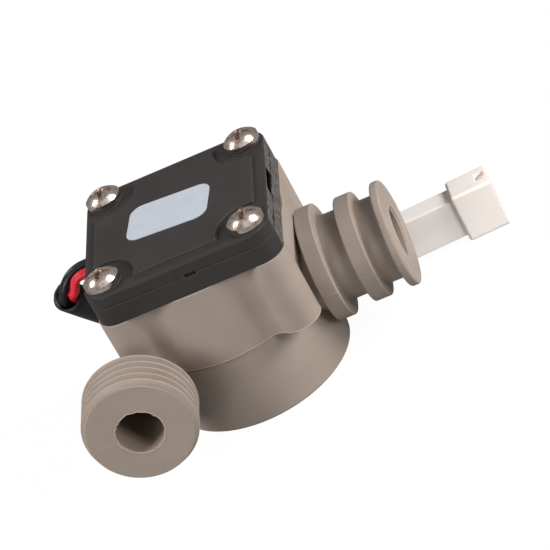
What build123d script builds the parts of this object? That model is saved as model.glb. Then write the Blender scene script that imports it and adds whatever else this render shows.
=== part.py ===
from build123d import *
import math
import os

os.makedirs("parts", exist_ok=True)

# Water flow sensor, in millimetres. The base stands on z = 0, the turbine turns about Z,
# the threaded inlet points to -Y and the flanged outlet to +X.

# Moulded housing
port_height = 15.6
bowl_radius = 18.0
upper_radius = 18.4
upper_start = 15.3
housing_height = 30.6
base_edge_radius = 0.5
floor_thickness = 2.4
chamber_radius = 15.2

# Corner bosses that take the cover's screws
screw_pitch = 28.0
boss_radius = 4.2
boss_blend_radius = 3.0

# Inlet spigot with a G 1/2 thread
inlet_axis_x = -17.4
inlet_face_y = -30.0
inlet_bore_radius = 4.45
inlet_bore_length = 15.6
inlet_neck_radius = 6.6
inlet_neck_end = 13.4
thread_crest_radius = 10.4775
thread_pitch = 1.814
thread_turns = 5
thread_first_crest = 1.5
thread_face_radius = 9.8
thread_flat_share = 1 / 6
thread_depth_share = 0.640327

# Jet that leads from the inlet's blind end into the chamber
jet_radius = 1.9
jet_start = (-14.4, -15.2)
jet_end = (-8.4, -6.2)

# Outlet spigot with two clip grooves, places measured along X from the turbine's axis
outlet_bore_radius = 4.6
outlet_bore_chamfer = 0.4
outlet_neck_radius = 8.2
outlet_tip_neck_radius = 8.0
shoulder_flange_start = 18.5
shoulder_flange_thickness = 3.2
shoulder_flange_radius = 10.86
middle_flange_start = 25.93
middle_flange_thickness = 3.17
middle_flange_radius = 10.1
end_flange_start = 32.99
end_flange_thickness = 1.67
end_flange_radius = 10.1
flange_edge_radius = 0.25
end_flange_edge_radius = 0.45

# Lid of the turbine chamber, with its seal
lid_flange_thickness = 3.0
lid_flange_radius = 16.2
lid_skirt_depth = 3.6
lid_floor_thickness = 2.0
lid_pocket_radius = 12.0
lid_clearance = 0.1
seal_groove_width = 1.8
seal_groove_depth = 1.2
seal_groove_offset = 1.0
seal_clearance = 0.02
seal_side_clearance = 0.1
seal_corner_radius = 0.5

# Turbine and its bearings
rotor_blades = 8
rotor_radius = 13.2
rotor_hub_radius = 3.0
blade_thickness = 1.2
blade_camber = 1.5
blade_bottom = 8.0
magnet_height = 3.0
magnet_radius = 8.0
magnet_cup_wall = 1.1
magnet_cup_floor = 1.2
magnet_cup_lip = 0.3
rotor_rim_radius = 9.4
rotor_rim_height = 1.2
shaft_radius = 1.0
shaft_clearance = 0.03
shaft_chamfer = 0.25
bush_radius = 2.0
bush_length = 3.0
bush_bore_depth = 2.4
bush_seat_wall = 1.6
lower_bush_base = 2.0
washer_radius = 2.6
washer_thickness = 0.5
end_play = 0.05
press_clearance = 0.02

# Black electronics box: a tray and a cover
box_margin = 4.0
box_corner_radius = 4.2
tray_height = 3.8
cover_height = 2.6
box_wall = 1.6
tray_floor = 1.2
cover_roof = 1.4
cover_edge_radius = 0.5
tray_edge_radius = 0.3
seam_width = 0.12
panel_edge_offset = (4.5, 4.6)
panel_shift = (-0.25, -0.1)
panel_height = 0.6
panel_corner_relief = 6.0
panel_edge_radius = 0.2
sensor_window = (9.0, 7.0)
locating_ring_height = 1.0
locating_ring_wall = 1.2
cover_tab_length = 14.0
cover_tab_thickness = 0.9
cover_tab_depth = 1.0
cover_tab_root = 1.3
cut_reach = 3.5
snap_window = (7.5, 2.1)
snap_window_y = 0.0
snap_notch = (1.2, 0.9)
snap_notch_y = -10.9
front_notch = (2.2, 0.8)
front_notch_x = 1.6

# Cover screws
screw_length = 16.0
screw_core_radius = 1.45
screw_hole_radius = 1.9
screw_head_radius = 3.4
screw_head_height = 2.3
screw_head_rim = 0.9
screw_pad_radius = 3.3
screw_pad_height = 0.45
cross_recess_length = 4.2
cross_recess_width = 0.95
cross_recess_depth = 1.5
cross_recess_taper = 12
screw_tip = 0.7
pilot_depth = 11.0
pilot_clearance = 0.05

# Label on the cover
label_size = (16.0, 11.0)
label_corner_radius = 2.5
label_thickness = 0.12
label_centre = (-1.0, 0.1)
label_turn = -6.0

# Circuit board and what is soldered to it
board_size = 24.0
board_thickness = 1.0
board_standoff_height = 0.3
board_standoff_radius = 1.5
board_standoff_inset = 5.0
board_post_clearance = 0.4
hall_size = (4.1, 1.6, 3.0)
hall_y = 6.5
hall_drop = 2.1
hall_lead_width = 0.42
hall_lead_pitch = 1.27
capacitor_size = (3.2, 1.6, 1.1)
capacitor_centre = (4.0, -4.0)
resistor_size = (2.0, 1.25, 0.5)
resistor_x = 4.0
resistor_edge_distance = 4.0
chip_edge_chamfer = 0.1

# Lead: three wires in a sleeve
wire_radius = 0.85
wire_names = ("red", "black", "white")
wire_exit_y = {"red": -2.7, "black": 1.5, "white": -0.6}
wire_pad_x = -8.0
wire_gate_clearance = 0.25
wire_gate_drop = 1.6
sleeve_radius = 2.9
sleeve_wall = 0.45
bundle_place = {"red": (1.22, -0.45), "black": (-0.6, -1.2), "white": (-0.05, 1.28)}
mouth_reach = {"red": 0.5, "black": 0.6, "white": 0.4}
mouth_depth = 3.2
mouth_ease = 0.12
radius_share = 0.45

# Plug: a narrow contact block with a wider shroud, standing on its narrow side
plug_nose = (51.38, 13.43)
plug_yaw = 5.2
shroud_width = 10.26
shroud_thickness = 6.74
shroud_length = 8.0
shroud_wall = 0.9
shroud_depth = 6.2
shroud_edge_radius = 0.6
block_step = 1.05
block_length = 11.5
contact_pitch = 2.5
contact_cavity = (1.9, 2.4)
contact_size = (1.6, 1.9)
contact_box_length = 5.6
contact_tail_length = 4.0
contact_tail_radius = 0.6
contact_wall = 0.25
contact_floor = 1.0
block_edge_radius = 0.3
wire_seat_depth = 2.6
latch_window = (1.8, 2.5)
latch_window_inset = 0.6

# Heights that follow from the sizes above
lid_seat_height = housing_height - lid_flange_thickness
lid_bottom = lid_seat_height - lid_skirt_depth
lid_floor_top = lid_bottom + lid_floor_thickness
lower_washer_base = lower_bush_base + bush_length
rotor_bottom = lower_washer_base + washer_thickness + end_play
rotor_top = lid_bottom - washer_thickness - end_play
magnet_base = rotor_top - magnet_height - magnet_cup_lip
blade_top = magnet_base - magnet_cup_floor
seam_height = housing_height + tray_height
cover_top = seam_height + cover_height
panel_top = cover_top + panel_height
tray_floor_top = housing_height + tray_floor
board_base = tray_floor_top + board_standoff_height
board_top = board_base + board_thickness
wire_exit_height = board_top + wire_radius + press_clearance
screw_seat_height = cover_top + screw_pad_height
box_width = screw_pitch + 2 * box_margin
box_half = box_width / 2
box_inner = box_width - 2 * box_wall


def at(x=0.0, y=0.0, z=0.0):
    """A place in the sensor's own frame."""
    return Pos(x, y, z)


def corners(pitch):
    """The four corners of a square pattern."""
    return [at(x, y) for x in (-pitch / 2, pitch / 2) for y in (-pitch / 2, pitch / 2)]


def turned(outline):
    """A solid turned about Z from an outline of (radius, height) corners."""
    points = [(radius, 0, height) for radius, height in outline]
    return revolve(make_face(Polyline(*points, close=True)), Axis.Z)


def rod(radius, low, high):
    """A round bar on Z between two heights."""
    return at(0, 0, low) * extrude(Circle(radius), high - low)


def block(size_x, size_y, low, high):
    """A rectangular bar centred on Z between two heights."""
    return at(0, 0, low) * extrude(Rectangle(size_x, size_y), high - low)


def plate(outline, low, high):
    """A plate with the given outline between two heights."""
    return at(0, 0, low) * extrude(outline, high - low)


def upper_outline():
    """The round wall with a boss at each corner, blended where they meet."""
    outline = Circle(upper_radius)
    for corner in corners(screw_pitch):
        outline += corner * Circle(boss_radius)
    return fillet(outline.vertices(), boss_blend_radius)


def thread_outline():
    """The inlet spigot's outline, front face first, with one ridge for each turn of the thread."""
    root = thread_crest_radius - thread_depth_share * thread_pitch
    crest_half = thread_pitch * thread_flat_share / 2
    root_half = thread_pitch / 2 - crest_half
    points = [(0, 0), (thread_face_radius, 0), (root, thread_first_crest - root_half)]
    for turn in range(thread_turns):
        crest = thread_first_crest + turn * thread_pitch
        points += [
            (root, crest - root_half),
            (thread_crest_radius, crest - crest_half),
            (thread_crest_radius, crest + crest_half),
            (root, crest + root_half),
        ]
    thread_end = points[-1][1]
    points += [(inlet_neck_radius, thread_end), (inlet_neck_radius, inlet_neck_end), (0, inlet_neck_end)]
    return [point for number, point in enumerate(points) if point != points[number - 1]]


def inlet_frame():
    """The inlet's own frame: Z runs inwards from its front face."""
    return Plane(origin=(inlet_axis_x, inlet_face_y, port_height), x_dir=(1, 0, 0), z_dir=(0, 1, 0)).location


def outlet_frame():
    """The outlet's own frame: Z runs outwards from the turbine's axis."""
    return Plane(origin=(0, 0, port_height), x_dir=(0, 1, 0), z_dir=(1, 0, 0)).location


def outlet_flange(start, thickness, radius, edge):
    """One round flange of the outlet with softened edges."""
    flange = rod(radius, start, start + thickness)
    return fillet(flange.edges().filter_by(GeomType.CIRCLE), edge)


def outlet_spigot():
    """The outlet's neck with its three flanges, along Z of its own frame."""
    end = end_flange_start + end_flange_thickness
    spigot = rod(outlet_neck_radius, chamber_radius, middle_flange_start)
    spigot += rod(outlet_tip_neck_radius, middle_flange_start, end - flange_edge_radius)
    flanges = (
        (shoulder_flange_start, shoulder_flange_thickness, shoulder_flange_radius, flange_edge_radius),
        (middle_flange_start, middle_flange_thickness, middle_flange_radius, flange_edge_radius),
        (end_flange_start, end_flange_thickness, end_flange_radius, end_flange_edge_radius),
    )
    for start, thickness, radius, edge in flanges:
        spigot += outlet_flange(start, thickness, radius, edge)
    return spigot


def inlet_jet():
    """The slanting passage that turns the turbine."""
    start = Vector(*jet_start, port_height)
    run = Vector(*jet_end, port_height) - start
    return Plane(origin=start, z_dir=run).location * extrude(Circle(jet_radius), run.length)


def make_housing():
    bowl = rod(bowl_radius, 0, upper_start)
    bowl = fillet(bowl.edges().filter_by(GeomType.CIRCLE).sort_by(Axis.Z)[0], base_edge_radius)
    body = bowl + plate(upper_outline(), upper_start, housing_height)
    inlet = turned(thread_outline())
    inlet += at(0, 0, inlet_neck_end) * Sphere(inlet_neck_radius)
    body += inlet_frame() * inlet
    body += outlet_frame() * outlet_spigot()
    body -= rod(chamber_radius, floor_thickness, housing_height)
    body -= rod(lid_flange_radius + lid_clearance, lid_seat_height, housing_height)
    outlet_end = end_flange_start + end_flange_thickness
    outlet_bore = rod(outlet_bore_radius, 0, outlet_end)
    outlet_bore += turned([
        (0, outlet_end - outlet_bore_chamfer),
        (outlet_bore_radius, outlet_end - outlet_bore_chamfer),
        (outlet_bore_radius + outlet_bore_chamfer, outlet_end),
        (0, outlet_end),
    ])
    body -= outlet_frame() * outlet_bore
    body -= inlet_frame() * rod(inlet_bore_radius, 0, inlet_bore_length)
    body -= inlet_jet()
    body += rod(bush_radius + bush_seat_wall, floor_thickness, lower_washer_base)
    body -= rod(bush_radius + press_clearance, lower_bush_base, lower_washer_base)
    pilot_radius = screw_core_radius + pilot_clearance
    for corner in corners(screw_pitch):
        body -= corner * rod(pilot_radius, housing_height - pilot_depth, housing_height)
    return body


def make_chamber_lid():
    skirt_radius = chamber_radius - lid_clearance
    groove_top = lid_seat_height - seal_groove_offset
    groove_low = groove_top - seal_groove_width
    lid = rod(skirt_radius, lid_bottom, lid_seat_height)
    lid += rod(lid_flange_radius, lid_seat_height, housing_height)
    groove = rod(skirt_radius, groove_low, groove_top)
    groove -= rod(skirt_radius - seal_groove_depth, groove_low, groove_top)
    lid -= groove
    lid -= rod(lid_pocket_radius, lid_floor_top, housing_height)
    seat_top = lid_bottom + bush_length
    lid += rod(bush_radius + bush_seat_wall, lid_floor_top, seat_top + bush_seat_wall)
    lid -= rod(bush_radius + press_clearance, lid_bottom, seat_top)
    return lid


def make_lid_seal():
    """The seal as it lies squeezed in its groove: a ring with flattened sides."""
    inner = chamber_radius - lid_clearance - seal_groove_depth + seal_clearance
    outer = chamber_radius - seal_clearance
    middle_height = lid_seat_height - seal_groove_offset - seal_groove_width / 2
    height = seal_groove_width - 2 * seal_side_clearance
    section = RectangleRounded(outer - inner, height, seal_corner_radius)
    place = Plane(origin=((inner + outer) / 2, 0, middle_height), x_dir=(1, 0, 0), z_dir=(0, -1, 0)).location
    return revolve(place * section, Axis.Z)


def bush():
    """A cup bush on Z with its mouth upwards."""
    body = rod(bush_radius, 0, bush_length)
    return body - rod(shaft_radius + shaft_clearance, bush_length - bush_bore_depth, bush_length)


def make_lower_bush():
    return at(0, 0, lower_bush_base) * bush()


def make_upper_bush():
    return at(0, 0, lid_bottom + bush_length) * Rot(180, 0, 0) * bush()


def washer():
    body = rod(washer_radius, 0, washer_thickness)
    return body - rod(shaft_radius + shaft_clearance, 0, washer_thickness)


def make_lower_thrust_washer():
    return at(0, 0, lower_washer_base) * washer()


def make_upper_thrust_washer():
    return at(0, 0, lid_bottom - washer_thickness) * washer()


def blade():
    """One cambered paddle with rounded edges, from the hub to its tip."""
    tip = rotor_radius - blade_thickness / 2
    middle = (rotor_hub_radius + tip) / 2
    arc = ThreePointArc((rotor_hub_radius - blade_thickness, 0), (middle, blade_camber), (tip, 0))
    return plate(SlotArc(arc, blade_thickness), blade_bottom, blade_top + magnet_cup_floor / 2)


def make_rotor():
    """The impeller: hub, paddles, a stiffening rim and the cup that holds the magnet."""
    rotor = rod(rotor_hub_radius, rotor_bottom, rotor_top)
    for place in PolarLocations(0, rotor_blades):
        rotor += place * blade()
    rim = rod(rotor_rim_radius, blade_bottom, blade_bottom + rotor_rim_height)
    rotor += rim - rod(rotor_rim_radius - blade_thickness, blade_bottom, blade_bottom + rotor_rim_height)
    cup_radius = magnet_radius + press_clearance + magnet_cup_wall
    cup = rod(cup_radius, blade_top, rotor_top)
    cup -= rod(magnet_radius + press_clearance, magnet_base, rotor_top)
    rotor += cup + rod(rotor_hub_radius, magnet_base, rotor_top)
    return rotor - rod(shaft_radius + press_clearance, rotor_bottom, rotor_top)


def make_rotor_magnet():
    ring = rod(magnet_radius, magnet_base, magnet_base + magnet_height)
    return ring - rod(rotor_hub_radius + press_clearance, magnet_base, magnet_base + magnet_height)


def make_rotor_shaft():
    low = lower_washer_base - bush_bore_depth + end_play
    high = lid_bottom + bush_bore_depth - end_play
    shaft = rod(shaft_radius, low, high)
    return chamfer(shaft.edges().filter_by(GeomType.CIRCLE), shaft_chamfer)


def box_outline():
    return RectangleRounded(box_width, box_width, box_corner_radius)


def box_hollow():
    """The inside of the electronics box: a square with its corners taken by the screw posts."""
    hollow = Rectangle(box_inner, box_inner)
    for corner in corners(screw_pitch):
        hollow -= corner * Circle(boss_radius)
    return hollow.faces().sort_by(SortBy.AREA)[-1]


def wire_gate():
    """The opening in the wall through which the wires leave, open to both halves of the box."""
    ends = [wire_exit_y[name] for name in wire_names]
    reach = wire_radius + wire_gate_clearance
    low = wire_exit_height - reach - wire_gate_drop
    width = max(ends) - min(ends) + 2 * reach
    place = at((-box_half - box_inner / 2) / 2, (max(ends) + min(ends)) / 2)
    return place * block(cut_reach, width, low, wire_exit_height + reach)


def snap_cuts():
    """The snap window and the two small notches that lie on the seam."""
    window_low = seam_height + seam_width
    window = at(box_half, snap_window_y, window_low + snap_window[1] / 2)
    side_notch = at(box_half, snap_notch_y, seam_height)
    near_notch = at(front_notch_x, -box_half, seam_height)
    cuts = window * Box(cut_reach, *snap_window)
    cuts += side_notch * Box(box_wall, *snap_notch)
    return cuts + near_notch * Box(front_notch[0], box_wall, front_notch[1])


def screw_holes(low, high):
    """Clearance holes for the four cover screws."""
    holes = Part()
    for corner in corners(screw_pitch):
        holes += corner * rod(screw_hole_radius, low, high)
    return holes


def make_sensor_tray():
    tray = plate(box_outline(), housing_height, seam_height)
    rim = tray.faces().sort_by(Axis.Z)[-1].edges()
    tray = chamfer(rim, seam_width)
    tray -= plate(box_hollow(), tray_floor_top, seam_height)
    ring_radius = lid_pocket_radius - lid_clearance
    ring_low = housing_height - locating_ring_height
    ring = rod(ring_radius, ring_low, housing_height)
    tray += ring - rod(ring_radius - locating_ring_wall, ring_low, housing_height)
    for place in corners(board_size - 2 * board_standoff_inset):
        tray += place * rod(board_standoff_radius, tray_floor_top, board_base)
    tray -= at(0, hall_y) * block(*sensor_window, ring_low, tray_floor_top)
    return tray - screw_holes(housing_height, seam_height) - wire_gate() - snap_cuts()


def cover_tab():
    """A tab that reaches down inside the tray's wall, drawn on the +X side."""
    outer = box_inner / 2 - lid_clearance
    low = seam_height - cover_tab_depth
    place = at(outer - cover_tab_thickness / 2)
    return place * block(cover_tab_thickness, cover_tab_length, low, seam_height + cover_tab_root)


def make_sensor_cover():
    cover = plate(box_outline(), seam_height, cover_top)
    cover = fillet(cover.faces().sort_by(Axis.Z)[-1].edges(), cover_edge_radius)
    cover = chamfer(cover.faces().sort_by(Axis.Z)[0].edges(), seam_width)
    panel = Rectangle(box_width - panel_edge_offset[0], box_width - panel_edge_offset[1])
    panel = at(*panel_shift) * panel
    for corner in corners(screw_pitch):
        panel -= corner * Circle(panel_corner_relief)
    raised = plate(panel, cover_top, panel_top)
    cover += chamfer(raised.faces().sort_by(Axis.Z)[-1].edges(), panel_edge_radius)
    for corner in corners(screw_pitch):
        cover += corner * rod(screw_pad_radius, cover_top, screw_seat_height)
    cover -= plate(box_hollow(), seam_height, cover_top - cover_roof)
    for turn in (0, 90, 270):
        cover += Rot(0, 0, turn) * cover_tab()
    return cover - screw_holes(seam_height, screw_seat_height) - wire_gate() - snap_cuts()


def cross_recess():
    """The cross recess of a screw head, tapering towards its bottom, with its mouth at z = 0."""
    slot = Rectangle(cross_recess_length, cross_recess_width)
    mouth = slot + Rot(0, 0, 90) * slot
    return extrude(mouth, -cross_recess_depth, taper=cross_recess_taper)


def screw():
    """One pan-head screw, its seat at z = 0 and its shank below."""
    dome = (screw_head_radius ** 2 + (screw_head_height - screw_head_rim) ** 2) / (
        2 * (screw_head_height - screw_head_rim)
    )
    head = rod(screw_head_radius, 0, screw_head_height)
    head &= at(0, 0, screw_head_height - dome) * Sphere(dome)
    head -= at(0, 0, screw_head_height) * cross_recess()
    shank = turned([
        (0, 0),
        (screw_core_radius, 0),
        (screw_core_radius, -screw_length + screw_tip),
        (screw_core_radius - screw_tip, -screw_length),
        (0, -screw_length),
    ])
    return head + shank


def make_cover_screws():
    return [corner * at(0, 0, screw_seat_height) * screw() for corner in corners(screw_pitch)]


def make_label():
    sticker = extrude(RectangleRounded(*label_size, label_corner_radius), label_thickness)
    return at(*label_centre, panel_top) * Rot(0, 0, label_turn) * sticker


def hall_leads(width):
    """The three leads of the sensor, or the holes for them if they are wider."""
    leads = Part()
    for step in (-1, 0, 1):
        leads += at(step * hall_lead_pitch, hall_y) * block(width, width, board_base - hall_drop, board_top)
    return leads


def make_circuit_board():
    board = block(board_size, board_size, board_base, board_top)
    for corner in corners(screw_pitch):
        board -= corner * rod(boss_radius + board_post_clearance, board_base, board_top)
    return board - hall_leads(hall_lead_width + 2 * press_clearance)


def make_hall_sensor():
    top = board_base - hall_drop
    body = at(0, hall_y) * block(hall_size[0], hall_size[1], top - hall_size[2], top)
    return body + hall_leads(hall_lead_width)


def chip(size, centre):
    """A small component on the board, with its edges broken."""
    body = at(*centre) * block(size[0], size[1], board_top, board_top + size[2])
    return chamfer(body.edges().filter_by(Axis.Z), chip_edge_chamfer)


def make_board_capacitor():
    return chip(capacitor_size, capacitor_centre)


def make_board_resistor():
    return chip(resistor_size, (resistor_x, resistor_edge_distance - board_size / 2))


def plug_frame():
    """The plug's own frame: X runs out of its nose, Z up, and its middle line is the X axis."""
    corner = Vector(*plug_nose, shroud_width / 2)
    across = Vector(0, shroud_thickness / 2, 0).rotate(Axis.Z, plug_yaw)
    return Location(corner + across, (0, 0, plug_yaw))


def on_plug(x, y=0.0, z=0.0):
    """A point of the plug's frame, given in the sensor's own frame."""
    return tuple((plug_frame() * Pos(x, y, z)).position)


plug_rear = -shroud_length - block_length
contact_heights = {"red": 0.0, "black": -contact_pitch, "white": contact_pitch}


def bar(size_y, size_z, start, end):
    """A bar along X of the plug's frame."""
    return Pos((start + end) / 2, 0, 0) * Box(end - start, size_y, size_z)


def make_plug_housing():
    shroud = bar(shroud_thickness, shroud_width, -shroud_length, 0)
    long_edges = shroud.edges().filter_by(Axis.X)
    rear_edges = shroud.faces().sort_by(Axis.X)[0].edges()
    shroud = fillet(list(long_edges) + list(rear_edges), shroud_edge_radius)
    block_size = (shroud_thickness - 2 * block_step, shroud_width - 2 * block_step)
    contact_block = bar(*block_size, plug_rear, -shroud_length + shroud_edge_radius)
    contact_block = fillet(contact_block.edges().filter_by(Axis.X), block_edge_radius)
    body = shroud + contact_block
    body -= bar(shroud_thickness - 2 * shroud_wall, shroud_width - 2 * shroud_wall, -shroud_depth, 0)
    for height in contact_heights.values():
        body -= Pos(0, 0, height) * bar(contact_cavity[1], contact_cavity[0], plug_rear, -shroud_depth)
    window_end = -latch_window_inset
    body -= bar(latch_window[1], shroud_width, window_end - latch_window[0], window_end)
    return plug_frame() * body


def contact():
    """One crimp contact: an open box at the nose side and a round barrel that takes the wire."""
    front = -shroud_depth
    back = front - contact_box_length
    inside = (contact_size[1] - 2 * contact_wall, contact_size[0] - 2 * contact_wall)
    body = bar(contact_size[1], contact_size[0], back, front)
    body -= bar(*inside, back + contact_floor, front)
    barrel_end = plug_rear + wire_seat_depth
    barrel = Pos(barrel_end, 0, 0) * Rot(0, 90, 0) * extrude(Circle(contact_tail_radius), back - barrel_end)
    return body + barrel


def make_plug_contacts():
    return [plug_frame() * Pos(0, 0, height) * contact() for height in contact_heights.values()]


# The sleeve's route, from its mouth beside the box down to the ground and round behind the bowl
sleeve_route = [
    (-25.6, 1.0, 29.2),
    (-23.0, 10.2, 17.6),
    (-20.1, 19.4, 7.4),
    (-14.6, 28.0, 2.9),
    (-5.5, 34.0, 2.9),
    (4.5, 33.5, 2.9),
    (12.0, 27.0, 2.9),
    (17.0, 19.5, 2.9),
    (24.0, 15.8, 2.9),
]

# Where each wire bends between the box and the sleeve's mouth, and between the sleeve and the plug
wire_loop = {
    "red": [(-17.5, -2.1, 34.0), (-21.6, -2.2, 33.9), (-22.7, -2.2, 31.3)],
    "black": [(-17.5, 1.0, 34.0), (-21.8, 0.7, 34.1), (-24.8, -0.2, 32.2)],
    "white": [(-17.5, -0.6, 32.6), (-20.8, 1.1, 31.7), (-24.0, 2.1, 32.0)],
}
wire_fan = {"red": (-25.4, -0.7, -2.5), "black": (-25.1, 1.3, -3.35), "white": (-26.0, 0.6, -0.9)}
wire_fan_straight = 3.0
wire_pad_length = 5.0


def unit(start, end):
    """The direction from one point to another."""
    return (Vector(*end) - Vector(*start)).normalized()


def bend_radii(route):
    """The largest bend that fits at each corner of a route with room left on its runs."""
    radii = []
    for before, corner, after in zip(route, route[1:], route[2:]):
        turn = unit(before, corner).get_angle(unit(corner, after))
        run = min((Vector(*corner) - Vector(*before)).length, (Vector(*after) - Vector(*corner)).length)
        radii.append(radius_share * run / math.tan(math.radians(turn / 2)))
    return radii


def parallel_route(route, place):
    """A route beside another one that keeps its place, across and up, as the pair bends."""
    run = unit(route[0], route[1])
    level = Vector(0, 0, 1).cross(run).normalized()
    offset = run.cross(level) * place[1] - level * place[0]
    moved = [Vector(*route[0]) + offset]
    for before, corner, after in zip(route, route[1:], route[2:]):
        first = unit(before, corner)
        second = unit(corner, after)
        hinge = first.cross(second).normalized()
        inward = hinge.cross(first)
        depth = offset.dot(inward)
        across = hinge * offset.dot(hinge)
        after_inward = hinge.cross(second)
        mitre = (inward + after_inward) * (depth / (1 + inward.dot(after_inward)))
        moved.append(Vector(*corner) + across + mitre)
        offset = across + after_inward * depth
    moved.append(Vector(*route[-1]) + offset)
    return [tuple(point) for point in moved]


def tube(route, outer, inner=0.0):
    """A tube along a route of straight runs and bends."""
    radii = bend_radii(route)
    path = FilletPolyline(*route, radius=radii)
    start = Plane(origin=path @ 0, z_dir=path % 0)
    solid = sweep(start * Circle(outer), path=path)
    area = math.pi * outer ** 2
    if inner:
        solid -= sweep(start * Circle(inner), path=path)
        area -= math.pi * inner ** 2
    ratio = solid.volume / area / path.length
    bends = [round(radius, 1) for radius in radii]
    print(f"length {path.length:.1f}, bends {bends}, volume ratio {ratio:.4f}")
    return solid


def wire_route(name):
    """A wire's whole way: board, wall, loop, sleeve, fan and plug."""
    pad = (wire_pad_x, wire_exit_y[name], wire_exit_height)
    board_edge = (wire_pad_x - wire_pad_length, wire_exit_y[name], wire_exit_height)
    inside = parallel_route(sleeve_route, bundle_place[name])
    run = unit(*sleeve_route[:2])
    side = (Vector(*inside[0]) - Vector(*sleeve_route[0])).normalized()
    mouth = [
        tuple(Vector(*inside[0]) - run * mouth_reach[name]),
        tuple(Vector(*inside[0]) + run * mouth_depth - side * mouth_ease),
    ]
    entry = on_plug(plug_rear - wire_fan_straight, 0, contact_heights[name])
    seat = on_plug(plug_rear + wire_seat_depth, 0, contact_heights[name])
    fan = on_plug(*wire_fan[name])
    return [pad, board_edge, *wire_loop[name], *mouth, *inside[1:-1], fan, entry, seat]


def make_wire_sleeve():
    return tube(sleeve_route, sleeve_radius, sleeve_radius - sleeve_wall)


pieces = {
    "housing": make_housing,
    "chamber_lid": make_chamber_lid,
    "lid_seal": make_lid_seal,
    "lower_bush": make_lower_bush,
    "upper_bush": make_upper_bush,
    "lower_thrust_washer": make_lower_thrust_washer,
    "upper_thrust_washer": make_upper_thrust_washer,
    "rotor": make_rotor,
    "rotor_magnet": make_rotor_magnet,
    "rotor_shaft": make_rotor_shaft,
    "sensor_tray": make_sensor_tray,
    "sensor_cover": make_sensor_cover,
    "cover_screws": make_cover_screws,
    "label": make_label,
    "circuit_board": make_circuit_board,
    "hall_sensor": make_hall_sensor,
    "board_capacitor": make_board_capacitor,
    "board_resistor": make_board_resistor,
    "plug_housing": make_plug_housing,
    "plug_contacts": make_plug_contacts,
    "wire_sleeve": make_wire_sleeve,
}

for node, make in pieces.items():
    made = make()
    solids = Compound(children=list(made)) if isinstance(made, list) else made
    export_step(solids, f"parts/{node}.step")

for name in wire_names:
    export_step(tube(wire_route(name), wire_radius), f"parts/wire_{name}.step")
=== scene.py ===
# %% [markdown]
# # Water flow sensor
# A taupe moulded housing stands on its round base. A threaded inlet points at the camera, a flanged
# outlet points to the right, and a flat black box sits on top with four bright screws. Three wires
# leave the box on the left, go into a black sleeve and end in a white plug behind the outlet.
#
# The CAD frame already has the true sizes, so this file adds what CAD leaves plain: finishes, soft
# edges, the lead's smooth curve, fine moulding marks, the camera and the light.

# %% Load the frame
import math
import random

import bmesh
import bpy
from mathutils import Matrix, Quaternion, Vector


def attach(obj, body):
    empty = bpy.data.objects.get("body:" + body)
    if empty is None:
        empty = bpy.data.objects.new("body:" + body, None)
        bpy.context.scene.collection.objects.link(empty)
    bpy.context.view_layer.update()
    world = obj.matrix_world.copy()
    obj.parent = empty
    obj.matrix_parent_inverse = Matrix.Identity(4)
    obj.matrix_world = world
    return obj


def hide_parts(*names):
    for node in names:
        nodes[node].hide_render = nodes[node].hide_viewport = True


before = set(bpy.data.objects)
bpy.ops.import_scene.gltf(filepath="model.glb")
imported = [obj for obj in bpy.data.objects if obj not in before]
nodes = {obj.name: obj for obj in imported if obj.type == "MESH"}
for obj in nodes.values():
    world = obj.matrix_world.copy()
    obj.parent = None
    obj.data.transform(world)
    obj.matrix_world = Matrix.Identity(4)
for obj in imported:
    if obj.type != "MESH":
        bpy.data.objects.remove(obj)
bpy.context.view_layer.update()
mm = 0.001
print("frame nodes:", len(nodes))

# %% [markdown]
# ## Camera
# The picture was taken from far away with a long lens, so parallel edges barely converge. The
# camera's place and lens were solved from the screws' middles and the edges of the inlet, the
# flanges, the base and the box. It was also held tilted, which is a roll about its own line of
# sight: the roll is applied last, in the camera's own axes.

# %% Camera
camera_place = Vector((119.33, -461.06, 287.82)) * mm
camera_aim = Vector((9.97, 2.58, 15.6)) * mm
camera_roll = math.radians(-29.16)
camera_lens = 196.5
camera_sensor = 36.0
nearest_seen = 0.01

camera_data = bpy.data.cameras.new("camera")
camera_data.lens = camera_lens
camera_data.sensor_width = camera_sensor
camera_data.clip_start = nearest_seen
camera = bpy.data.objects.new("camera", camera_data)
bpy.context.collection.objects.link(camera)
level_view = (camera_aim - camera_place).to_track_quat("-Z", "Y")
camera.rotation_mode = "QUATERNION"
camera.rotation_quaternion = level_view @ Quaternion((0, 0, 1), camera_roll)
camera.location = camera_place
bpy.context.scene.camera = camera
print("camera distance in mm:", round((camera_aim - camera_place).length / mm))

# %% [markdown]
# ## Light
# Two soft boxes stand on the left and right. The right one is the key, so the flanges throw their
# shadows to the left onto the necks. Two weak fills stand far to either side of the camera: they
# light the inlet's face without reaching down its bore. One more keeps the back from going black,
# and a narrow spot lamp reaches the plug, which the bowl hides from the others.
#
# Three panels hung higher up are only seen in reflections. Two of them make the two round white
# spots on each screw head, and their places follow from the slope of the dome under each spot. The
# wide weak one overhead adds a soft sheen to the screw heads and to hardly anything else.

# %% Lights
lamp_aim = Vector((0, 0, 18))


def hang(name, data, place, aim):
    """Puts a lamp at a place and turns it to a point, both in millimetres."""
    lamp = bpy.data.objects.new(name, data)
    bpy.context.collection.objects.link(lamp)
    lamp.location = place * mm
    lamp.rotation_mode = "QUATERNION"
    lamp.rotation_quaternion = (aim - place).to_track_quat("-Z", "Y")
    return lamp


def soft_box(name, place, size, watts, lights=True, mirrored=True):
    """A square lamp that faces the sensor; place and size are in millimetres.

    lights says whether it lights matt surfaces, and mirrored whether shiny ones reflect it.
    """
    data = bpy.data.lights.new(name, "AREA")
    data.shape = "SQUARE"
    data.size = size * mm
    data.energy = watts
    lamp = hang(name, data, Vector(place), lamp_aim)
    lamp.visible_diffuse = lights
    lamp.visible_glossy = mirrored


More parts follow.
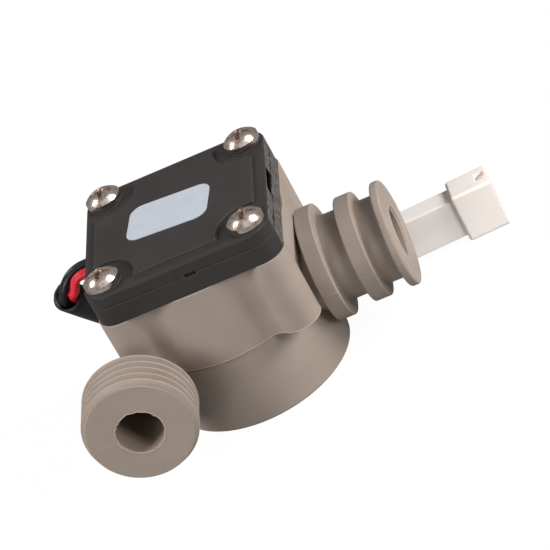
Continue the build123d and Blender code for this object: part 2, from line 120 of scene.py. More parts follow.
soft_box("left_box", (-480, -190, 360), size=220, watts=3.4, mirrored=False)
soft_box("right_box", (600, -30, 300), size=220, watts=4.4, mirrored=False)
soft_box("left_fill", (-300, -580, 130), size=300, watts=1.15)
soft_box("right_fill", (500, -350, 290), size=240, watts=2.0, mirrored=False)
soft_box("back_fill", (-60, 600, 340), size=300, watts=0.7, mirrored=False)
soft_box("overhead_panel", (60, -170, 600), size=420, watts=0.2, lights=False)
soft_box("left_panel", (-360, 110, 480), size=125, watts=0.75, lights=False)
soft_box("right_panel", (290, 80, 545), size=180, watts=1.5, lights=False)

# The spot lamp on the plug: its strength in watts, cone, soft rim, and sizes in millimetres
plug_lamp_watts = 1.6
plug_lamp_cone = math.radians(9)
plug_lamp_blend = 0.6
plug_lamp_radius = 20
plug_lamp_place = Vector((290, -400, 90))
plug_lamp_aim = Vector((64, 14, 4))

plug_lamp = bpy.data.lights.new("plug_lamp", "SPOT")
plug_lamp.energy = plug_lamp_watts
plug_lamp.spot_size = plug_lamp_cone
plug_lamp.spot_blend = plug_lamp_blend
plug_lamp.shadow_soft_size = plug_lamp_radius * mm
hang("plug_lamp", plug_lamp, plug_lamp_place, plug_lamp_aim)

# %% [markdown]
# ## Room
# The room has three looks. Matt surfaces are lit by a very dim one. Shiny surfaces reflect a
# lighter one, as the white walls of a studio would show in the screws. The camera itself sees pure
# white, so the background is white without more light falling on the object.

# %% World
room_on_matt = (0.055, 0.054, 0.053, 1)
room_in_mirror = (0.27, 0.252, 0.244, 1)
room_seen = (1, 1, 1, 1)

world = bpy.data.worlds.new("dim_room")
bpy.context.scene.world = world
world.use_nodes = True
room = world.node_tree
room.nodes.clear()
ray = room.nodes.new("ShaderNodeLightPath")


def backdrop(colour):
    """One look of the room: an even glow."""
    glow = room.nodes.new("ShaderNodeBackground")
    glow.inputs["Color"].default_value = colour
    return glow.outputs["Background"]


def shown_to(kind, chosen, otherwise):
    """Shows one look to rays of a kind and the other look to all the rest."""
    choice = room.nodes.new("ShaderNodeMixShader")
    room.links.new(ray.outputs[kind], choice.inputs["Fac"])
    room.links.new(otherwise, choice.inputs[1])
    room.links.new(chosen, choice.inputs[2])
    return choice.outputs["Shader"]


unseen = shown_to("Is Glossy Ray", backdrop(room_in_mirror), backdrop(room_on_matt))
room_look = shown_to("Is Camera Ray", backdrop(room_seen), unseen)
room_out = room.nodes.new("ShaderNodeOutputWorld")
room.links.new(room_look, room_out.inputs["Surface"])
bpy.context.scene.view_settings.view_transform = "Standard"

# %% [markdown]
# ## Floor
# The floor is one big sheet, far larger than the view. It glows a little for the camera only, so it
# reads as white paper and still keeps the sensor's soft shadow.

# %% Floor
floor_half = 3.0
floor_paper = 0.25
glow_share = 0.8
glow_strength = 1.2

floor_mesh = bpy.data.meshes.new("floor")
sheet = bmesh.new()
bmesh.ops.create_grid(sheet, x_segments=1, y_segments=1, size=floor_half)
sheet.to_mesh(floor_mesh)
sheet.free()
floor = bpy.data.objects.new("floor", floor_mesh)
bpy.context.collection.objects.link(floor)
paper = bpy.data.materials.new("floor_paper")
paper.use_nodes = True
paper_tree = paper.node_tree
paper_tree.nodes.clear()
paper_out = paper_tree.nodes.new("ShaderNodeOutputMaterial")
paper_matt = paper_tree.nodes.new("ShaderNodeBsdfDiffuse")
paper_matt.inputs["Color"].default_value = (floor_paper, floor_paper, floor_paper, 1)
paper_glow = paper_tree.nodes.new("ShaderNodeEmission")
paper_glow.inputs["Strength"].default_value = glow_strength
paper_ray = paper_tree.nodes.new("ShaderNodeLightPath")
paper_share = paper_tree.nodes.new("ShaderNodeMath")
paper_share.operation = "MULTIPLY"
paper_share.inputs[1].default_value = glow_share
paper_mix = paper_tree.nodes.new("ShaderNodeMixShader")
paper_tree.links.new(paper_ray.outputs["Is Camera Ray"], paper_share.inputs[0])
paper_tree.links.new(paper_share.outputs["Value"], paper_mix.inputs["Fac"])
paper_tree.links.new(paper_matt.outputs["BSDF"], paper_mix.inputs[1])
paper_tree.links.new(paper_glow.outputs["Emission"], paper_mix.inputs[2])
paper_tree.links.new(paper_mix.outputs["Shader"], paper_out.inputs["Surface"])
floor_mesh.materials.append(paper)

# %% [markdown]
# ## How a moulded finish is built
# Moulded plastic is never one flat colour. Its pigment clouds slightly where it flowed, its gloss
# changes from patch to patch, its skin has a fine grain, and its edges are painted lighter as a
# painted highlight. One helper builds all of that from the object's own coordinates, so the pattern
# keeps its real size on every piece. Each finish below then only says how strong each part is. The
# painted edge highlight compares the true normal with one rounded over a small radius: they differ
# only near an edge.

# %% Finish helper
def srgb(red, green, blue):
    """A colour from 0 to 255 as it looks on a screen, in the linear light that shaders use."""
    linear = []
    for level in (red, green, blue):
        share = level / 255
        linear.append(share / 12.92 if share <= 0.04045 else ((share + 0.055) / 1.055) ** 2.4)
    return (*linear, 1.0)


class Finish:
    """A node material with the shader ready and short ways to add and join nodes."""

    # The mix node has sockets for several kinds of value, and these are the ones for colours
    mixed_colours = (6, 7)
    mix_result = 2
    edge_samples = 6
    mask_fade = 0.98

    def __init__(self, name, roughness, metallic=0.0):
        self.material = bpy.data.materials.new(name)
        self.material.use_nodes = True
        self.tree = self.material.node_tree
        self.shader = self.tree.nodes["Principled BSDF"]
        self.shader.inputs["Roughness"].default_value = roughness
        self.shader.inputs["Metallic"].default_value = metallic
        self.place = self.tree.nodes.new("ShaderNodeTexCoord").outputs["Object"]

    def node(self, kind, **settings):
        made = self.tree.nodes.new(kind)
        for key, value in settings.items():
            setattr(made, key, value)
        return made

    def join(self, source, target):
        self.tree.links.new(source, target)

    def noise(self, size, detail=3.0, stretch=(1, 1, 1), distortion=0.0):
        """Cloudy noise whose features are about size millimetres across."""
        mapping = self.node("ShaderNodeMapping")
        mapping.inputs["Scale"].default_value = stretch
        cloud = self.node("ShaderNodeTexNoise")
        cloud.inputs["Scale"].default_value = 1 / (size * mm)
        cloud.inputs["Detail"].default_value = detail
        cloud.inputs["Distortion"].default_value = distortion
        self.join(self.place, mapping.inputs["Vector"])
        self.join(mapping.outputs["Vector"], cloud.inputs["Vector"])
        return cloud.outputs["Fac"]

    def ranged(self, value, low, high, start=0.0, end=1.0):
        """Maps a value between low and high onto start to end."""
        span = self.node("ShaderNodeMapRange")
        span.inputs["From Min"].default_value = low
        span.inputs["From Max"].default_value = high
        span.inputs["To Min"].default_value = start
        span.inputs["To Max"].default_value = end
        self.join(value, span.inputs["Value"])
        return span.outputs["Result"]

    def blend(self, share, first, second):
        """A colour that goes from first to second; each is a colour or another node's output."""
        mix = self.node("ShaderNodeMix", data_type="RGBA")
        self.join(share, mix.inputs["Factor"])
        for colour, number in zip((first, second), self.mixed_colours):
            if isinstance(colour, tuple):
                mix.inputs[number].default_value = colour
            else:
                self.join(colour, mix.inputs[number])
        return mix.outputs[self.mix_result]

    def edges(self, radius, contrast):
        """A normal rounded over radius millimetres, and a mask that is 1 on edges sharper than it."""
        rounded = self.node("ShaderNodeBevel", samples=self.edge_samples)
        rounded.inputs["Radius"].default_value = radius * mm
        true = self.node("ShaderNodeNewGeometry")
        dot = self.node("ShaderNodeVectorMath", operation="DOT_PRODUCT")
        self.join(rounded.outputs["Normal"], dot.inputs[0])
        self.join(true.outputs["Normal"], dot.inputs[1])
        return rounded.outputs["Normal"], self.ranged(dot.outputs["Value"], 1.0, 1.0 - contrast)

    def times(self, first, second):
        """The product of two masks."""
        product = self.node("ShaderNodeMath", operation="MULTIPLY")
        self.join(first, product.inputs[0])
        self.join(second, product.inputs[1])
        return product.outputs["Value"]

    def within(self, middle, half):
        """1 inside a box given by its middle and half sizes in millimetres, and 0 outside it."""
        vector = self.place
        for operation, value in (("SUBTRACT", middle), ("ABSOLUTE", None), ("DIVIDE", half)):
            step = self.node("ShaderNodeVectorMath", operation=operation)
            self.join(vector, step.inputs[0])
            if value is not None:
                step.inputs[1].default_value = value * mm
            vector = step.outputs["Vector"]
        part = self.node("ShaderNodeSeparateXYZ")
        self.join(vector, part.inputs["Vector"])
        farthest = part.outputs["X"]
        for axis in ("Y", "Z"):
            larger = self.node("ShaderNodeMath", operation="MAXIMUM")
            self.join(farthest, larger.inputs[0])
            self.join(part.outputs[axis], larger.inputs[1])
            farthest = larger.outputs["Value"]
        return self.ranged(farthest, 1.0, self.mask_fade)

    def bump(self, height, depth, normal=None):
        """Raises the surface by depth millimetres where height is 1."""
        raised = self.node("ShaderNodeBump")
        raised.inputs["Distance"].default_value = depth * mm
        self.join(height, raised.inputs["Height"])
        if normal is not None:
            self.join(normal, raised.inputs["Normal"])
        return raised.outputs["Normal"]

    def paint(self, share, first, second):
        """Colours the surface from first to second."""
        self.join(self.blend(share, first, second), self.shader.inputs["Base Color"])

    def gloss(self, roughness):
        """Lets the roughness follow another node's output."""
        self.join(roughness, self.shader.inputs["Roughness"])

    def relief(self, height, depth, normal=None):
        """Gives the surface a relief of depth millimetres."""
        self.join(self.bump(height, depth, normal), self.shader.inputs["Normal"])


# What all moulded pieces share: sizes in millimetres, and the span of noise that counts
cloud_size = 9.0
cloud_span = (0.3, 0.72)
patch_size = 2.6
patch_span = (0.25, 0.75)
edge_contrast = 0.35


def moulded(name, colour, cloud_colour, edge_highlight_colour, gloss, grain, edge_radius=0.22):
    """A moulded plastic: clouded pigment, uneven gloss, fine grain, and edges painted lighter as a painted
    highlight.

    gloss is the lowest and highest roughness, and grain the size and depth of the skin in mm.
    """
    finish = Finish(name, roughness=gloss[0])
    cloud = finish.ranged(finish.noise(cloud_size, detail=4.0, distortion=0.4), *cloud_span)
    tinted = finish.blend(cloud, colour, cloud_colour)
    # Edges are painted lighter here, as a painted highlight.
    soft_normal, edge_highlight = finish.edges(edge_radius, edge_contrast)
    finish.paint(edge_highlight, tinted, edge_highlight_colour)
    finish.gloss(finish.ranged(finish.noise(patch_size, detail=5.0), *patch_span, *gloss))
    grain_size, grain_depth = grain
    finish.relief(finish.noise(grain_size, detail=2.0), grain_depth, normal=soft_normal)
    return finish


def dress(material, *names):
    """Gives CAD nodes a material in place of their plain one."""
    for name in names:
        mesh = nodes[name].data
        mesh.materials.clear()
        mesh.materials.append(material)


# %% [markdown]
# ## How a skin is swept
# A ring is drawn once and extruded from step to step along a line, each time turned to the line's
# direction. The sleeve, the hair-thin ridges of flash and the burrs are all made this way.

# %% Sweep helper
def swept_skin(name, line, radius, sides):
    """An open skin of the given radius along a line; radius is in millimetres."""
    bm = bmesh.new()
    ring = bmesh.ops.create_circle(bm, cap_ends=False, radius=radius * mm, segments=sides)["verts"]
    steps = []
    side = Vector((0, 0, 1))
    for number, point in enumerate(line):
        before = line[max(number - 1, 0)]
        after = line[min(number + 1, len(line) - 1)]
        along = (after - before).normalized()
        side = (side - along * side.dot(along)).normalized()
        steps.append(Matrix((side, along.cross(side), along)).transposed().to_4x4())
        steps[-1].translation = point
    bmesh.ops.transform(bm, matrix=steps[0], verts=ring)
    edges = list({edge for vertex in ring for edge in vertex.link_edges})
    for before, after in zip(steps, steps[1:]):
        grown = bmesh.ops.extrude_edge_only(bm, edges=edges)["geom"]
        ring = [item for item in grown if isinstance(item, bmesh.types.BMVert)]
        edges = [item for item in grown if isinstance(item, bmesh.types.BMEdge)]
        edges = [edge for edge in edges if all(vertex in ring for vertex in edge.verts)]
        bmesh.ops.transform(bm, matrix=after @ before.inverted(), verts=ring)
    bmesh.ops.recalc_face_normals(bm, faces=bm.faces)
    for face in bm.faces:
        face.smooth = True
    mesh = bpy.data.meshes.new(name)
    bm.to_mesh(mesh)
    bm.free()
    made = bpy.data.objects.new(name, mesh)
    bpy.context.collection.objects.link(made)
    return made


# %% [markdown]
# ## Taupe housing
# The housing and its lid are one shot of filled engineering plastic in a warm grey. The skin is
# satin: broad soft highlights, a faint grain, and thin ridges of flash where the mould's halves met,
# painted lighter as a painted highlight.

# %% Housing finish
taupe = moulded(
    "taupe_plastic",
    colour=srgb(156, 142, 131),
    cloud_colour=srgb(149, 135, 124),
    edge_highlight_colour=srgb(196, 180, 166),
    gloss=(0.38, 0.5),
    grain=(0.35, 0.012),
)
dress(taupe.material, "housing", "chamber_lid")

# %% [markdown]
# ## Parting line
# The mould's halves meet in one level plane through both ports. A little plastic creeps into that
# joint, so a hair of flash runs round the upper body, over the outlet's necks and flanges and
# across the left of the inlet's face. Each ridge is swept along the outline that the CAD form has
# in that plane: round the body it is the wall's circle, the four bosses and the blends between.

# %% Parting ridges
parting_height = 15.36
body_flash_radius = 0.06
outlet_flash_radius = 0.028
inlet_flash_radius = 0.02
inlet_flash_ends = (-26.3, -21.9)
inlet_face = -30.0
flash_sides = 8
upper_radius = 18.4
quarter_turn = 90
boss_turn = 45
boss_radius = 4.2
boss_reach = 14.0 * math.sqrt(2)
blend_radius = 3.0

# The outlet's outline as steps of place along X and radius
outlet_steps = [
    (17.2, 8.2),
    (18.5, 8.2),
    (18.5, 10.86),
    (21.7, 10.86),
    (21.7, 8.2),
    (25.93, 8.2),
    (25.93, 10.1),
    (29.1, 10.1),
    (29.1, 8.0),
    (32.99, 8.0),
    (32.99, 10.1),
    (34.66, 10.1),
    (34.66, 5.2),
]

# Turns in degrees from +X between which the wall is free of the ports
free_walls = ((26, 210), (238, 334))

# The flash is painted lighter than the housing, as a painted highlight along each ridge and burr.
flash = moulded(
    "flash_plastic_painted_highlight",
    colour=srgb(196, 174, 156),
    cloud_colour=srgb(182, 161, 144),
    edge_highlight_colour=srgb(204, 184, 168),
    gloss=(0.4, 0.5),
    grain=(0.2, 0.01),
    edge_radius=0.05,
)


def outline_radius(turn):
    """Distance from the turbine's axis to the upper body's outline at a turn in degrees from +X."""
    lean = abs(turn % quarter_turn - boss_turn)
    reach = upper_radius + blend_radius
    span = boss_radius + blend_radius
    blend_turn = math.acos((boss_reach**2 + reach**2 - span**2) / (2 * boss_reach * reach))
    centre = Vector((reach * math.cos(blend_turn), reach * math.sin(blend_turn)))
    boss = Vector((boss_reach, 0))
    touch = boss + (centre - boss) * (boss_radius / span)
    if lean >= math.degrees(blend_turn):
        return upper_radius
    if lean >= math.degrees(math.atan2(touch.y, touch.x)):
        off = math.radians(lean) - blend_turn
        return reach * math.cos(off) - math.sqrt(blend_radius**2 - (reach * math.sin(off)) ** 2)
    off = math.radians(lean)
    return boss_reach * math.cos(off) + math.sqrt(boss_radius**2 - (boss_reach * math.sin(off)) ** 2)


def flash_ridge(name, outline, radius):
    """A hair of flash along an outline in millimetres."""
    made = swept_skin(name, [Vector(point) * mm for point in outline], radius, flash_sides)
    made.data.materials.append(flash.material)
    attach(made, "body")


for number, (first, last) in enumerate(free_walls):
    wall_line = []
    for turn in range(first, last + 1):
        radius = outline_radius(turn)
        angle = math.radians(turn)
        wall_line.append((radius * math.cos(angle), radius * math.sin(angle), parting_height))
    flash_ridge(f"body_flash_{number}", wall_line, body_flash_radius)

for name, side in (("front", -1), ("back", 1)):
    edge_line = [(x, side * radius, parting_height) for x, radius in outlet_steps]
    flash_ridge(f"outlet_flash_{name}", edge_line, outlet_flash_radius)

inlet_line = [(x, inlet_face, parting_height) for x in inlet_flash_ends]
flash_ridge("inlet_flash", inlet_line, inlet_flash_radius)

# %% [markdown]
# ## Burrs at the bores
# Both bores were trimmed by hand, so their edges are slightly ragged: a thin ring of flash whose
# radius wanders by up to a tenth of a millimetre or so.

# %% Bore burrs
# Each ring wears the flash's lighter paint, a painted highlight on the bore's edge.
burr_radius = 0.08
burr_steps = 72
inlet_mouth = Vector((-17.4, inlet_face, 15.6))
outlet_mouth = Vector((34.66, 0, 15.6))


def ragged_ring(name, centre, across, radius, wander, seed):
    """A closed ring of flash round a bore; across is the level direction in the bore's face."""
    rough = random.Random(seed)
    up = Vector((0, 0, 1))
    jitter = [rough.uniform(-wander, wander) for _ in range(burr_steps)]
    jitter.append(jitter[0])
    ring = []
    for step in range(burr_steps + 1):
        angle = math.tau * step / burr_steps
        reach = radius + jitter[step]
        ring.append(centre + across * (reach * math.cos(angle)) + up * (reach * math.sin(angle)))
    flash_ridge(name, ring, burr_radius)


ragged_ring("inlet_burr", inlet_mouth, Vector((1, 0, 0)), radius=4.42, wander=0.13, seed=5)
ragged_ring("outlet_burr", outlet_mouth, Vector((0, 1, 0)), radius=5.0, wander=0.05, seed=9)

# %% [markdown]
# ## Black box
# The tray and cover are black ABS with a satin skin. Its pigment is a warm near-black, so faces that
# look up at the lamps read as dark grey and upright faces stay almost black. The side towards the
# outlet is torn where the moulding gate was broken off: paler, rougher and drawn out in streaks,
# with pits along the seam that are painted darker as painted shade. Masks made from the place along
# X and Z keep this to the one side. The snap window in that side opens into the inside, and its
# dark is painted in as painted shade.

# %% Box finish
# Places, sizes and depths in millimetres
torn_face = 17.93
torn_fade = 0.02
torn_depth = 0.1
torn_colour = srgb(122, 118, 114)
box_seam = 34.4
pits_end = 0.55
pits_full = 0.1
pit_depth = 0.12
# The pits are painted near-black, as painted shade.
pit_shade_colour = srgb(18, 17, 17)
window_middle = Vector((15.9, 0, box_seam + 1.17))
window_half = Vector((2.0, 3.85, 1.1))
# The snap window is painted near-black, as painted shade of the inside.
window_shade_colour = srgb(9, 9, 10)
box_shine = 0.3


def torn_masks(finish):
    """Two masks on the outlet's side of the box: pale streaks, and pits along the seam that also carry
    painted shade.
    """
    place = finish.node("ShaderNodeSeparateXYZ")
    finish.join(finish.place, place.inputs["Vector"])
    on_side = finish.ranged(place.outputs["X"], (torn_face - torn_fade) * mm, torn_face * mm)
    streaks = finish.ranged(finish.noise(size=0.4, detail=7.0, stretch=(1, 0.25, 1.4)), low=0.38, high=0.7)
    height = finish.node("ShaderNodeMath", operation="SUBTRACT")
    height.inputs[1].default_value = box_seam * mm
    finish.join(place.outputs["Z"], height.inputs[0])
    from_seam = finish.node("ShaderNodeMath", operation="ABSOLUTE")
    finish.join(height.outputs["Value"], from_seam.inputs[0])
    by_seam = finish.ranged(from_seam.outputs["Value"], pits_end * mm, pits_full * mm)
    ragged = finish.ranged(finish.noise(size=0.9, detail=5.0, stretch=(1, 0.35, 1)), low=0.48, high=0.56)
    pits_and_shade = finish.times(finish.times(on_side, by_seam), ragged)
    return finish.times(on_side, streaks), pits_and_shade


def black_shell(name):
    """The box's black with a torn face on the outlet's side, and painted shade in its seam pits and snap
    window.
    """
    finish = moulded(
        name,
        colour=srgb(52, 49, 48),
        cloud_colour=srgb(46, 43, 42),
        edge_highlight_colour=srgb(94, 90, 87),
        gloss=(0.42, 0.56),
        grain=(0.25, 0.01),
    )
    finish.shader.inputs["Specular IOR Level"].default_value = box_shine
    torn, pits_and_shade = torn_masks(finish)
    plain = finish.shader.inputs["Base Color"].links[0].from_socket
    pale = finish.blend(torn, plain, torn_colour)
    # Painted shade: the pits and the snap window are painted near-black.
    pitted_and_shaded = finish.blend(pits_and_shade, pale, pit_shade_colour)
    finish.paint(finish.within(window_middle, window_half), pitted_and_shaded, window_shade_colour)
    smooth = finish.shader.inputs["Normal"].links[0].from_socket
    rough = finish.bump(torn, torn_depth, normal=smooth)
    finish.relief(pits_and_shade, -pit_depth, normal=rough)
    return finish.material


dress(black_shell("tray_black"), "sensor_tray")
dress(black_shell("cover_black"), "sensor_cover")

# %% [markdown]
# ## Bright screws
# Nickel-plated pan heads: a mirror metal with a slightly warm tint, cloudy tarnish, uneven gloss
# and a faintly wavy skin.

# %% Screw finish
nickel = Finish("bright_nickel", roughness=0.2, metallic=1.0)
tarnish = nickel.ranged(nickel.noise(size=0.9, detail=5.0), low=0.42, high=0.75)
nickel.paint(tarnish, srgb(236, 222, 213), srgb(182, 166, 155))
nickel.gloss(nickel.ranged(nickel.noise(size=0.5, detail=4.0), low=0.3, high=0.8, start=0.17, end=0.28))
nickel.relief(nickel.noise(size=0.8, detail=2.0), depth=0.012)
dress(nickel.material, "cover_screws")

# %% [markdown]
# ## Label
# A small sticker of satin film, pale and slightly blue. It stays bare.

# %% Label finish
film = Finish("label_film", roughness=0.4)
film_cloud = film.ranged(film.noise(size=3.5, detail=3.0), low=0.3, high=0.7)
film.paint(film_cloud, srgb(183, 190, 198), srgb(177, 184, 193))
film.gloss(film.ranged(film.noise(size=1.4), low=0.3, high=0.7, start=0.34, end=0.46))
film.relief(film.noise(size=1.1, detail=2.0), depth=0.01)
dress(film.material, "label")

# %% [markdown]
# ## Plug
# The plug is milky nylon, which lets light a little way in. A small subsurface share softens its
# shadows, as on the real one.

# %% Plug finish
milky = moulded(
    "milky_nylon",
    colour=srgb(252, 243, 237),
    cloud_colour=srgb(249, 239, 232),
    edge_highlight_colour=srgb(254, 251, 248),
    gloss=(0.42, 0.55),
    grain=(0.3, 0.006),
    edge_radius=0.08,
)
milky.shader.inputs["Subsurface Weight"].default_value = 0.2
milky.shader.inputs["Subsurface Radius"].default_value = (1.0, 1.0, 1.0)
milky.shader.inputs["Subsurface Scale"].default_value = 0.001
dress(milky.material, "plug_housing")

tinned = Finish("tinned_brass", roughness=0.3, metallic=1.0)
tinned_cloud = tinned.ranged(tinned.noise(size=0.6, detail=4.0), low=0.35, high=0.7)
tinned.paint(tinned_cloud, srgb(214, 208, 196), srgb(190, 178, 156))
tinned.relief(tinned.noise(size=0.3), depth=0.01)
dress(tinned.material, "plug_contacts")

# %% [markdown]
# ## Inner pieces
# Nothing inside shows from the camera, but the turbine can be seen down the outlet's bore, and the
# others are looked at when the sensor is taken apart. Each gets its own plain workshop finish.

# %% Inner finishes
ivory = moulded(
    "ivory_acetal",
    colour=srgb(222, 217, 205),
    cloud_colour=srgb(214, 208, 194),
    edge_highlight_colour=srgb(236, 232, 224),
    gloss=(0.34, 0.46),
    grain=(0.3, 0.008),
)
dress(ivory.material, "rotor", "lower_bush", "upper_bush", "lower_thrust_washer", "upper_thrust_washer")

seal_rubber = moulded(
    "seal_rubber",
    colour=srgb(28, 28, 28),
    cloud_colour=srgb(22, 22, 22),
    edge_highlight_colour=srgb(40, 40, 40),
    gloss=(0.55, 0.7),
    grain=(0.15, 0.01),
)
dress(seal_rubber.material, "lid_seal")

ferrite = Finish("sintered_ferrite", roughness=0.55, metallic=0.2)
ferrite_speck = ferrite.ranged(ferrite.noise(size=0.25, detail=5.0), low=0.4, high=0.7)
ferrite.paint(ferrite_speck, srgb(58, 57, 59), srgb(84, 82, 82))
ferrite.relief(ferrite.noise(size=0.2), depth=0.02)
dress(ferrite.material, "rotor_magnet")

ground_steel = Finish("ground_steel", roughness=0.22, metallic=1.0)
grinding = ground_steel.noise(size=0.2, detail=3.0, stretch=(1, 1, 14))
ground_steel.paint(grinding, srgb(196, 196, 198), srgb(168, 168, 171))
ground_steel.relief(grinding, depth=0.004)
dress(ground_steel.material, "rotor_shaft")

solder_mask = Finish("green_solder_mask", roughness=0.32)
weave = solder_mask.noise(size=0.5, detail=3.0, stretch=(1, 4, 1))
solder_mask.paint(weave, srgb(22, 92, 52), srgb(30, 112, 64))
solder_mask.relief(weave, depth=0.01)
dress(solder_mask.material, "circuit_board")

chip_black = moulded(
    "chip_epoxy",
    colour=srgb(30, 30, 32),
    cloud_colour=srgb(38, 38, 40),
    edge_highlight_colour=srgb(60, 60, 62),
    gloss=(0.5, 0.62),
    grain=(0.12, 0.01),
    edge_radius=0.08,
)
dress(chip_black.material, "hall_sensor", "board_resistor")

chip_tan = moulded(
    "capacitor_ceramic",
    colour=srgb(168, 134, 98),
    cloud_colour=srgb(158, 124, 90),
    edge_highlight_colour=srgb(190, 160, 124),
    gloss=(0.42, 0.55),
    grain=(0.12, 0.008),
    edge_radius=0.08,
)
dress(chip_tan.material, "board_capacitor")

# %% [markdown]
# ## Lead: the route
# The lead is three insulated wires in a soft black sleeve. The points below are the route's own
# control points. The sleeve goes from its mouth beside the box down to the floor and round behind
# the bowl. Inside it each wire keeps its own side, so its points are the sleeve's points moved
# sideways, with the offset mitred at each bend.

# %% Route points
sleeve_route = [
    (-25.6, 1.0, 29.2),
    (-23.0, 10.2, 17.6),
    (-20.1, 19.4, 7.4),
    (-14.6, 28.0, 2.9),
    (-5.5, 34.0, 2.9),
    (4.5, 33.5, 2.9),
    (12.0, 27.0, 2.9),
    (17.0, 19.5, 2.9),
    (24.0, 15.8, 2.9),
]
mouth_depth = 3.2
mouth_ease = 0.12
wire_radius = 0.85
sleeve_radius = 2.9
sleeve_wall = 0.45
wire_start_x = -8.0
wire_edge_x = -13.0
wire_exit_height = 33.97

# For each wire: its place in the sleeve, across and up; where it leaves the board; its points from
# there to the mouth; how far it stands out of the mouth; the point in the plug's frame where it
# turns to its contact; and that contact's height
wire_plan = {
    "wire_red": {
        "place": (1.22, -0.45),
        "exit_y": -2.7,
        "loop": [(-17.5, -2.1, 34.0), (-21.6, -2.2, 33.9), (-22.7, -2.2, 31.3)],
        "reach": 0.5,
        "fan": (-25.4, -0.7, -2.5),
        "contact": 0.0,
    },
    "wire_black": {
        "place": (-0.6, -1.2),
        "exit_y": 1.5,
        "loop": [(-17.5, 1.0, 34.0), (-21.8, 0.7, 34.1), (-24.8, -0.2, 32.2)],
        "reach": 0.6,
        "fan": (-25.1, 1.3, -3.35),
        "contact": -2.5,
    },
    "wire_white": {
        "place": (-0.05, 1.28),
        "exit_y": -0.6,
        "loop": [(-17.5, -0.6, 32.6), (-20.8, 1.1, 31.7), (-24.0, 2.1, 32.0)],
        "reach": 0.4,
        "fan": (-26.0, 0.6, -0.9),
        "contact": 2.5,
    },
}

# The plug's frame: a corner of its nose, its turn, and places along its own X in millimetres
plug_nose = Vector((51.38, 13.43, 5.13))
plug_yaw = math.radians(5.2)
plug_half_thickness = 3.37
plug_rear_x = -19.5
wire_straight = 3.0
wire_seat = 2.6


def on_plug(x, y, z):
    """A point given in the plug's own frame, in which X runs out of its nose."""
    turn = Matrix.Rotation(plug_yaw, 3, "Z")
    return plug_nose + turn @ Vector((x, y + plug_half_thickness, z))


def beside(route, place):
    """The route of a wire beside the sleeve's middle line that keeps its place, across and up."""
    corners = [Vector(point) for point in route]
    run = (corners[1] - corners[0]).normalized()
    level = Vector((0, 0, 1)).cross(run).normalized()
    offset = run.cross(level) * place[1] - level * place[0]
    moved = [corners[0] + offset]
    for before, corner, after in zip(corners, corners[1:], corners[2:]):
        first = (corner - before).normalized()
        second = (after - corner).normalized()
        hinge = first.cross(second).normalized()
        inward = hinge.cross(first)
        inward_after = hinge.cross(second)
        depth = offset.dot(inward)
        across = hinge * offset.dot(hinge)
        mitre = (inward + inward_after) * (depth / (1 + inward.dot(inward_after)))
        moved.append(corner + across + mitre)
        offset = across + inward_after * depth
    return moved + [corners[-1] + offset]


def wire_points(plan):
    """A wire's whole way: board, wall, loop, sleeve, fan and plug, in millimetres."""
    inside = beside(sleeve_route, plan["place"])
    run = (Vector(sleeve_route[1]) - Vector(sleeve_route[0])).normalized()
    side = (inside[0] - Vector(sleeve_route[0])).normalized()
    mouth = [inside[0] - run * plan["reach"], inside[0] + run * mouth_depth - side * mouth_ease]
    start = [(x, plan["exit_y"], wire_exit_height) for x in (wire_start_x, wire_edge_x)]
    entry = on_plug(plug_rear_x - wire_straight, 0, plan["contact"])
    seat = on_plug(plug_rear_x + wire_seat, 0, plan["contact"])
    return [*start, *plan["loop"], *mouth, *inside[1:-1], on_plug(*plan["fan"]), entry, seat]


# %% [markdown]
# ## Lead: curves
# A NURBS spline of order 3 rounds the route's corners by itself. Its order and end rule are set
# after the points are there, because a spline that is still too short drops to straight runs.
# Each wire is the curve itself with a round bevel.

# %% Curve helper
curve_steps = 10
curve_roundness = 6


def smooth_curve(name, points, radius):
    """A round tube on one smooth spline; points and radius are in millimetres."""
    data = bpy.data.curves.new(name, "CURVE")
    data.dimensions = "3D"
    data.resolution_u = curve_steps
    data.bevel_depth = radius * mm
    data.bevel_resolution = curve_roundness
    data.use_fill_caps = True
    spline = data.splines.new("NURBS")
    spline.points.add(len(points) - 1)
    for control, point in zip(spline.points, points):
        control.co = (*(Vector(point) * mm), 1.0)
    spline.order_u = 3
    spline.use_endpoint_u = True
    made = bpy.data.objects.new(name, data)
    bpy.context.collection.objects.link(made)
    return made


def curve_line(points):
    """The points that a smooth curve passes through, in metres, read from the curve itself."""
    guide = smooth_curve("guide", points, 0.0)
    bpy.context.view_layer.update()
    shape = guide.evaluated_get(bpy.context.evaluated_depsgraph_get())
    line_mesh = bpy.data.meshes.new_from_object(shape)
    line = [vertex.co.copy() for vertex in line_mesh.vertices]
    bpy.data.objects.remove(guide)
    bpy.data.meshes.remove(line_mesh)
    return line


def line_length(line):
    """The length of a line given by its points."""
    return sum((after - before).length for before, after in zip(line, line[1:]))


# %% [markdown]
# ## Lead: insulation
# Wire insulation is smooth PVC with a satin gloss. It has faint marks from handling and shallow
# ripples all along.

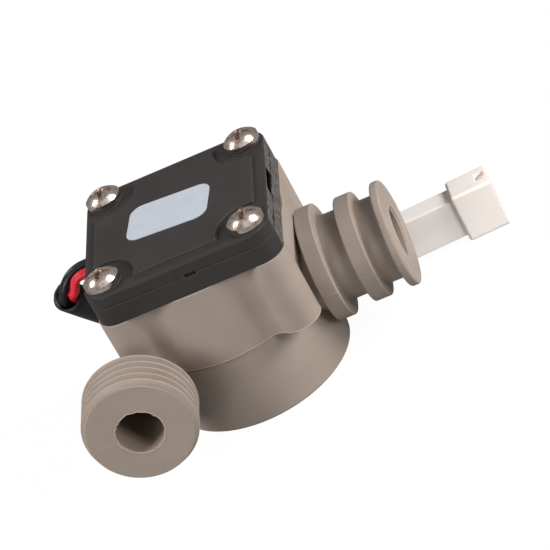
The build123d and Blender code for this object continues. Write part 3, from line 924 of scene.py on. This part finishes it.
# %% Insulation finish
def insulation(name, colour, mark_colour, gloss=(0.26, 0.42)):
    """Satin PVC with small scuffs; gloss is the lowest and highest roughness."""
    finish = Finish(name, roughness=gloss[0])
    scuff = finish.ranged(finish.noise(size=1.2, detail=5.0), low=0.56, high=0.74)
    finish.paint(scuff, colour, mark_colour)
    finish.gloss(finish.ranged(finish.noise(size=2.0), 0.3, 0.7, *gloss))
    finish.relief(finish.noise(size=1.6, detail=2.0), depth=0.016)
    return finish.material


wire_finish = {
    "wire_red": insulation("red_insulation", srgb(222, 38, 54), srgb(182, 27, 42)),
    "wire_black": insulation("black_insulation", srgb(24, 23, 24), srgb(44, 42, 42)),
    "wire_white": insulation("white_insulation", srgb(238, 236, 231), srgb(214, 210, 202)),
}

# %% Wires
for wire_name, plan in wire_plan.items():
    route = wire_points(plan)
    wire = smooth_curve(wire_name + "_insulated", route, wire_radius)
    wire.data.materials.append(wire_finish[wire_name])
    length = line_length(curve_line(route))
    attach(wire, "body")
    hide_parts(wire_name)
    print(wire_name, "length in mm:", round(length / mm, 1))

# %% [markdown]
# ## Lead: sleeve
# The sleeve is a soft tube with a real wall, because its open mouth shows. It is a swept skin, and
# Solidify then gives the wall inwards. It was snipped off by hand, so the mouth's edge wanders and
# rises to a small tip on the side away from the box.

# %% Sleeve
lip_towards = (-0.8, -0.5, 0.1)
lip_height = 0.7
lip_sharpness = 8
nick_height = 0.06
sleeve_sides = 40
sleeve_line = curve_line(sleeve_route)
sleeve = swept_skin("lead_sleeve", sleeve_line, sleeve_radius, sleeve_sides)

mouth_out = (sleeve_line[0] - sleeve_line[1]).normalized()
lip_side = Vector(lip_towards).normalized()
nick = random.Random(3)
for vertex in sleeve.data.vertices[:sleeve_sides]:
    facing = max(0.0, (vertex.co - sleeve_line[0]).normalized().dot(lip_side))
    rise = lip_height * facing**lip_sharpness + nick.uniform(-nick_height, nick_height)
    vertex.co += mouth_out * rise * mm

wall = sleeve.modifiers.new("wall", "SOLIDIFY")
wall.thickness = sleeve_wall * mm
wall.offset = -1.0
sleeve_vinyl = moulded(
    "sleeve_vinyl",
    colour=srgb(26, 25, 25),
    cloud_colour=srgb(34, 33, 33),
    edge_highlight_colour=srgb(52, 50, 50),
    gloss=(0.36, 0.5),
    grain=(0.6, 0.02),
)
sleeve.data.materials.append(sleeve_vinyl.material)
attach(sleeve, "body")
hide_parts("wire_sleeve")
print("sleeve length in mm:", round(line_length(sleeve_line) / mm, 1))
